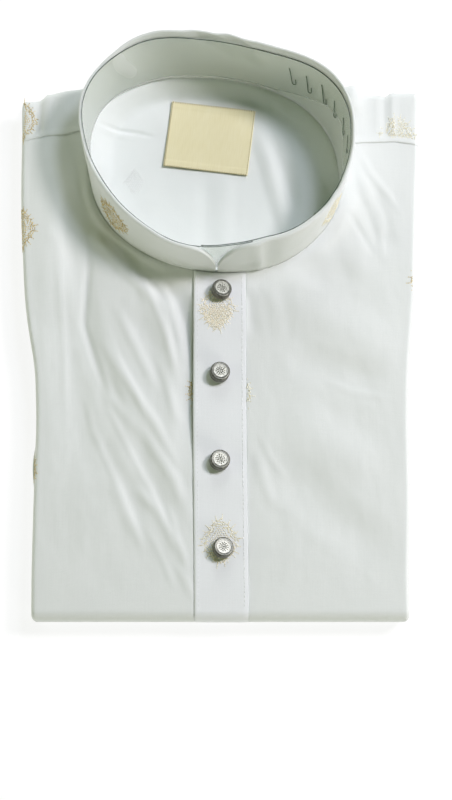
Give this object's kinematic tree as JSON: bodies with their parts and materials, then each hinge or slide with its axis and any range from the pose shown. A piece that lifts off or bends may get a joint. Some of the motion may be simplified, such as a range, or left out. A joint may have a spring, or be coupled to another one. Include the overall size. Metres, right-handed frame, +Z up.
{
  "type": "folded kurta tunic with collar support strip",
  "caption": "Band-collar kurta tunic folded into a flat pack and lying on its back, with a buttoned front placket and a clear strip that holds the collar round.",
  "frame": {"origin": "centre of the folded pack, on the surface it lies on", "axes": "+X to the viewer's right (the wearer's left), +Y from the bottom fold towards the collar, +Z up, away from the surface"},
  "size_m": [0.2475, 0.3495, 0.0611],
  "materials": {
    "cotton": "white cotton with a fine weave and woven golden motifs",
    "faced_cotton": "the same cotton, faced and edge stitched",
    "inner_cotton": "the same cotton, in folded layers",
    "label_tape": "cream woven satin tape",
    "pewter": "dark antique metal with a bright face",
    "clear_plastic": "clear, smooth"
  },
  "bodies": {
    "root": {"front": "cotton", "back": "cotton", "folded_layers": "inner_cotton", "collar_band": "faced_cotton", "placket": "faced_cotton", "button_1": "pewter", "button_2": "pewter", "button_3": "pewter", "button_4": "pewter", "label": "label_tape", "collar_support": "clear_plastic"}
  },
  "joints": []
}
